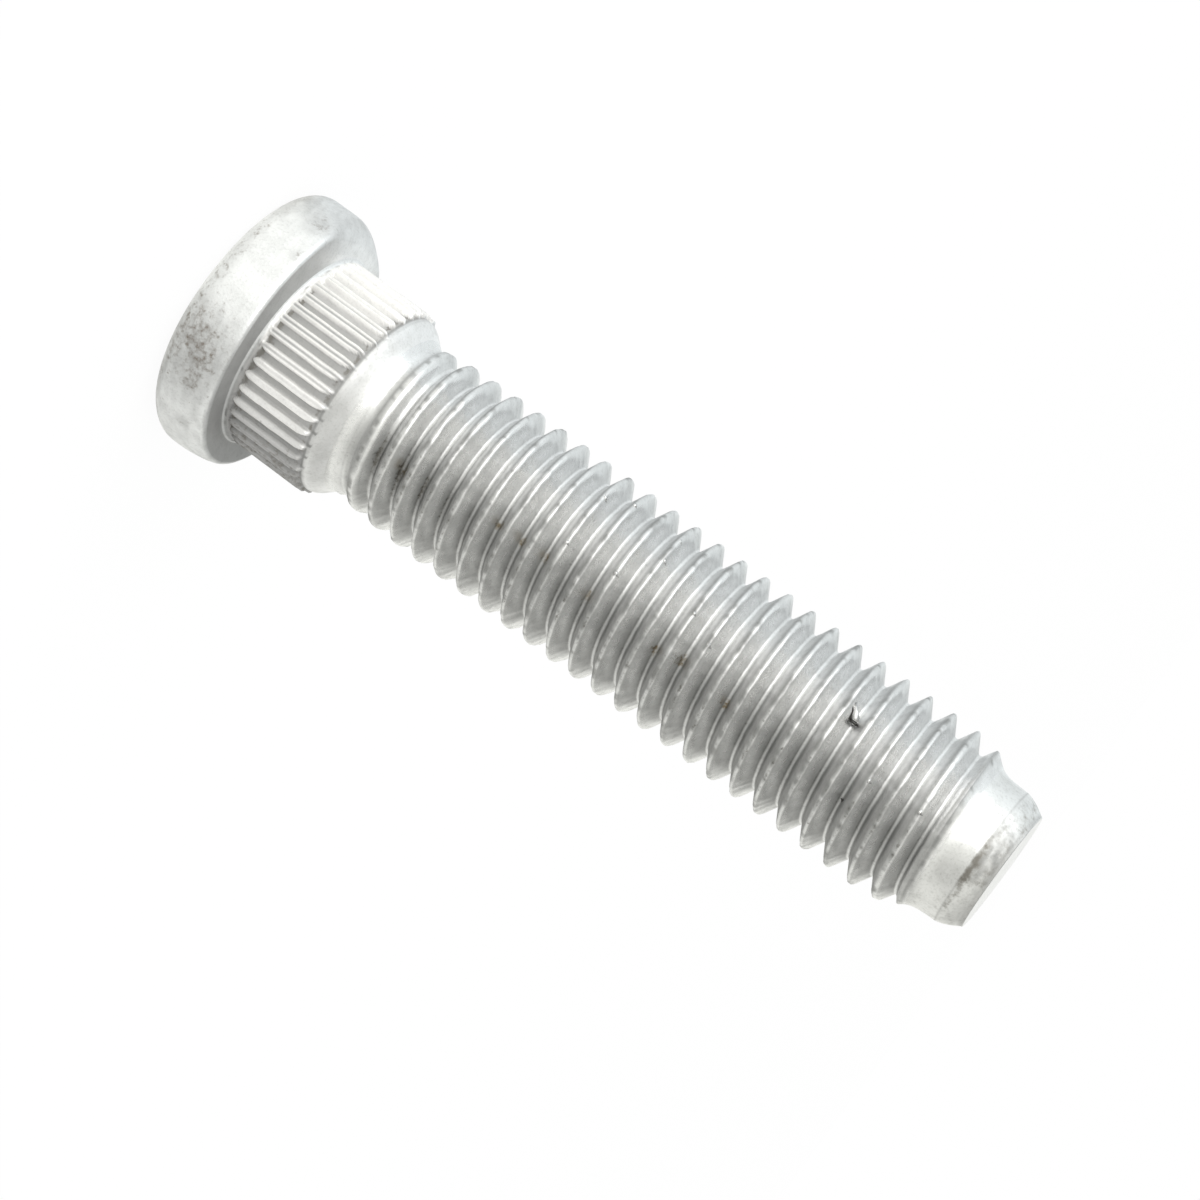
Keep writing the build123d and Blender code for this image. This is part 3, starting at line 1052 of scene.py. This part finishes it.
# Painted shade on the taper where the light falls on it, and in thin lines at the taper's start and at the
# edge of its flat end.
lit_heights = [60.70, 60.80, 60.92, 62.15, 62.30, 62.42, 62.48]
side_heights = [60.70, 60.80, 60.92, 62.20, 62.30, 62.42, 62.48]
dog_rings = [thread_top]
for (radius, height), ring_patches in zip(dog_outline, taper_patches):
    smear = (SMEAR_ALL_ROUND + SMEAR_FRONT * smear_turn) * near(height, SMEAR_HEIGHT, SMEAR_HALF)
    speckle = speckle_turn * np.interp(height, [60.75, 61.0, 62.3, 62.5], [0, 1, 1, 0.3])
    lit_side_shade = lit_turn * np.interp(height, lit_heights, [0, 0.66, 0.58, 0.58, 0.7, 0.7, 0.3])
    side_line_shade = (1 - lit_turn) * np.interp(height, side_heights, [0, 0.42, 0.0, 0.0, 0.4, 0.4, 0.1])
    mottle = TAPER_MOTTLE * ring_patches * np.interp(height, [60.8, 61.0, 62.1, 62.3], [0, 1, 1, 0])
    shade_and_dull = np.clip(lit_side_shade + side_line_shade + mottle, 0, TAPER_DARKEST)
    dog_rings.append(lay_points(radius, column_turn, height, np.maximum(smear, speckle), 0, shade_and_dull))
skin_rings(dog_rings, DOG_FINISH)
tip_rings = [dog_rings[-1]]
for share in TIP_RINGS:
    tip_rings.append(lay_points((end_radius - TIP_EDGE) * share, column_turn, STUD_LENGTH))
skin_rings(tip_rings, TIP_FINISH)
tip_centre = lay_points(0.0, 0.0, STUD_LENGTH)
lay_fan(tip_rings[-1], tip_centre, TIP_FINISH)

stud_finishes.append(
    zinc_finish(
        "zinc_on_dog_point",
        metal=1.0,
        light=(0.93, 0.93, 0.925, 1),
        dark=(0.68, 0.68, 0.67, 1),
        mottle_scale=800.0,
        mottle=0.45,
        smooth=0.34,
        rough=0.50,
        grain_depth=0.006,
        speck_scale=1500.0,
        speck_blur=0.20,
        film_colour=(0.31, 0.295, 0.27, 1),
    )
)
stud_finishes.append(
    zinc_finish(
        "zinc_on_tip_face",
        metal=0.5,
        light=(0.95, 0.95, 0.95, 1),
        dark=(0.76, 0.76, 0.75, 1),
        mottle_scale=800.0,
        mottle=0.30,
        smooth=0.34,
        rough=0.50,
        grain_depth=0.006,
        speck_scale=1500.0,
        speck_blur=0.20,
        film_colour=(0.36, 0.34, 0.31, 1),
    )
)

# Body of the stud
# Head, spline, thread and dog point are one bar of zinc-plated steel, so their points and faces become one
# mesh. It stands in for the CAD solid and rides on the part's only body.
stud_mesh = bpy.data.meshes.new("wheel_stud_body")
stud_mesh.from_pydata(np.concatenate(stud_points).tolist(), [], stud_faces)
for mark, values in stud_marks.items():
    attribute = stud_mesh.attributes.new(mark, "FLOAT", "POINT")
    attribute.data.foreach_set("value", np.concatenate(values).astype(np.float32))
for finish in stud_finishes:
    stud_mesh.materials.append(finish)
stud_mesh.polygons.foreach_set("material_index", np.array(face_finish, dtype=np.int32))
stud_mesh.polygons.foreach_set("use_smooth", np.ones(len(stud_faces), dtype=bool))
stud_mesh.update()
stud_body = bpy.data.objects.new("wheel_stud_body", stud_mesh)
bpy.context.scene.collection.objects.link(stud_body)
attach(stud_body, "root")
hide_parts("wheel_stud")

# Studio
# A white floor that keeps the stud's soft shadow, a white surround, and one large soft lamp on the -X side.
# Polished metal sees the floor and the surround dimmer overhead and on the +X side.
FLOOR_HALF = 1.5
FLOOR_COLOUR = (0.95, 0.95, 0.95, 1)
FLOOR_GLOW = 0.93
BLACK = (0, 0, 0, 1)
WHITE = (1, 1, 1, 1)
WARM_WHITE = (0.993, 0.997, 0.943, 1)
COOL_WHITE = (0.942, 0.993, 0.998, 1)
LIT_SIDE = (-0.766, -0.643, 0.0)
LIT_BACKDROP = (0.0, 1.0, 0.0)
DIM_CORNER = (0.743, -0.669, 0.0)
DIM_CEILING = (0.30, 0.45, 0.84)
COOL_SIDE = (-0.85, 0.45, 0.27)

floor_mesh = bpy.data.meshes.new("studio_floor")
floor_sides = ((-1, -1), (1, -1), (1, 1), (-1, 1))
floor_corners = [(FLOOR_HALF * x, FLOOR_HALF * y, HEAD_FOOT * MM) for x, y in floor_sides]
floor_mesh.from_pydata(floor_corners, [], [(0, 1, 2, 3)])
studio_floor = bpy.data.objects.new("studio_floor", floor_mesh)
bpy.context.scene.collection.objects.link(studio_floor)


def lobe(tree, direction, toward, start, end, far_tone, near_tone):
    """A tone by direction: it goes from far to near tone as a direction comes close to a given one."""
    nearness = tree.nodes.new("ShaderNodeVectorMath")
    nearness.operation = "DOT_PRODUCT"
    nearness.inputs[1].default_value = toward
    tree.links.new(direction, nearness.inputs[0])
    return range_node(tree, nearness.outputs["Value"], start, end, far_tone, near_tone)


def studio_view(tree, direction):
    """What polished metal sees: white on the lit side and behind the stud, greyer overhead and across from
    the lamp, and a little cool on one side and warm on the other."""
    side = lobe(tree, direction, LIT_SIDE, start=0.34, end=0.80, far_tone=0.85, near_tone=1.05)
    behind = lobe(tree, direction, LIT_BACKDROP, start=0.86, end=0.98, far_tone=1.0, near_tone=1.25)
    corner = lobe(tree, direction, DIM_CORNER, start=0.76, end=0.99, far_tone=1.0, near_tone=0.75)
    ceiling = lobe(tree, direction, DIM_CEILING, start=0.52, end=1.05, far_tone=1.0, near_tone=0.36)
    bright = math_node(tree, "MULTIPLY", side, behind)
    dim = math_node(tree, "MULTIPLY", corner, ceiling)
    tone = math_node(tree, "MULTIPLY", bright, dim)
    coolness = lobe(tree, direction, COOL_SIDE, start=0.42, end=0.72, far_tone=0.0, near_tone=1.0)
    return mix_node(tree, tone, BLACK, mix_node(tree, coolness, WARM_WHITE, COOL_WHITE))


floor_white = bpy.data.materials.new("floor_white")
floor_white.use_nodes = True
floor_tree = floor_white.node_tree
floor_tree.nodes.clear()
floor_rays = floor_tree.nodes.new("ShaderNodeLightPath").outputs
floor_seen = math_node(floor_tree, "ADD", floor_rays["Is Camera Ray"], floor_rays["Is Transmission Ray"])
floor_place = floor_tree.nodes.new("ShaderNodeVectorMath")
floor_place.operation = "NORMALIZE"
floor_tree.links.new(floor_tree.nodes.new("ShaderNodeTexCoord").outputs["Object"], floor_place.inputs[0])
floor_view = studio_view(floor_tree, floor_place.outputs["Vector"])
floor_matt = floor_tree.nodes.new("ShaderNodeBsdfDiffuse")
floor_matt.inputs["Color"].default_value = FLOOR_COLOUR
floor_glow = floor_tree.nodes.new("ShaderNodeEmission")
floor_tree.links.new(mix_node(floor_tree, floor_seen, floor_view, WHITE), floor_glow.inputs["Color"])
floor_shown = math_node(floor_tree, "ADD", floor_seen, floor_rays["Is Glossy Ray"], clamp=True)
floor_mix = floor_tree.nodes.new("ShaderNodeMixShader")
floor_tree.links.new(math_node(floor_tree, "MULTIPLY", floor_shown, FLOOR_GLOW), floor_mix.inputs["Fac"])
floor_tree.links.new(floor_matt.outputs["BSDF"], floor_mix.inputs[1])
floor_tree.links.new(floor_glow.outputs["Emission"], floor_mix.inputs[2])
floor_output = floor_tree.nodes.new("ShaderNodeOutputMaterial")
floor_tree.links.new(floor_mix.outputs["Shader"], floor_output.inputs["Surface"])
floor_mesh.materials.append(floor_white)

studio = bpy.data.worlds.new("studio")
studio.use_nodes = True
bpy.context.scene.world = studio
studio_tree = studio.node_tree
surround = studio_tree.nodes["Background"]
studio_direction = studio_tree.nodes.new("ShaderNodeTexCoord").outputs["Generated"]
studio_rays = studio_tree.nodes.new("ShaderNodeLightPath").outputs
white_rays = math_node(studio_tree, "ADD", studio_rays["Is Camera Ray"], studio_rays["Is Transmission Ray"])
white_rays = math_node(studio_tree, "ADD", white_rays, studio_rays["Is Diffuse Ray"], clamp=True)
white_view = mix_node(studio_tree, white_rays, BLACK, WHITE)
metal_view = studio_view(studio_tree, studio_direction)
surround_colour = mix_node(studio_tree, studio_rays["Is Glossy Ray"], white_view, metal_view)
studio_tree.links.new(surround_colour, surround.inputs["Color"])

KEY_PLACE = Vector((-0.27, -0.32, 0.20))
KEY_AIM = Vector((0, 0, 0.028))
KEY_SIZE = 0.6
KEY_POWER = 1.2
key_light = bpy.data.lights.new("key_lamp", "AREA")
key_light.shape = "RECTANGLE"
key_light.size = KEY_SIZE
key_light.size_y = KEY_SIZE
key_light.energy = KEY_POWER
key_lamp = bpy.data.objects.new("key_lamp", key_light)
key_lamp.location = KEY_PLACE
key_lamp.rotation_euler = (KEY_AIM - KEY_PLACE).to_track_quat("-Z", "Y").to_euler()
bpy.context.scene.collection.objects.link(key_lamp)

# Camera
# It stands at the photograph's viewing angle: the stud's axis leans across the picture and away from it.
# The lens and the sensor are fitted to the photograph's perspective, without shift.
CAMERA_PLACE = Vector((0.0, -0.205229, 0.072815))
CAMERA_RIGHT = Vector((-0.592844, 0.172124, 0.786700))
CAMERA_UP = Vector((-0.805285, -0.118915, -0.580830))
CAMERA_BACK = Vector((-0.006424, -0.977872, 0.209110))
photo_camera = bpy.data.cameras.new("photo_camera")
photo_camera.lens = 90.0
photo_camera.sensor_width = 36.0
photo_camera.clip_start = 0.01
photo_camera.clip_end = 10.0
camera = bpy.data.objects.new("photo_camera", photo_camera)
camera_turn = Matrix((CAMERA_RIGHT, CAMERA_UP, CAMERA_BACK)).transposed().to_4x4()
camera.matrix_world = Matrix.Translation(CAMERA_PLACE) @ camera_turn
bpy.context.scene.collection.objects.link(camera)
bpy.context.scene.camera = camera
bpy.context.scene.view_settings.view_transform = "Standard"
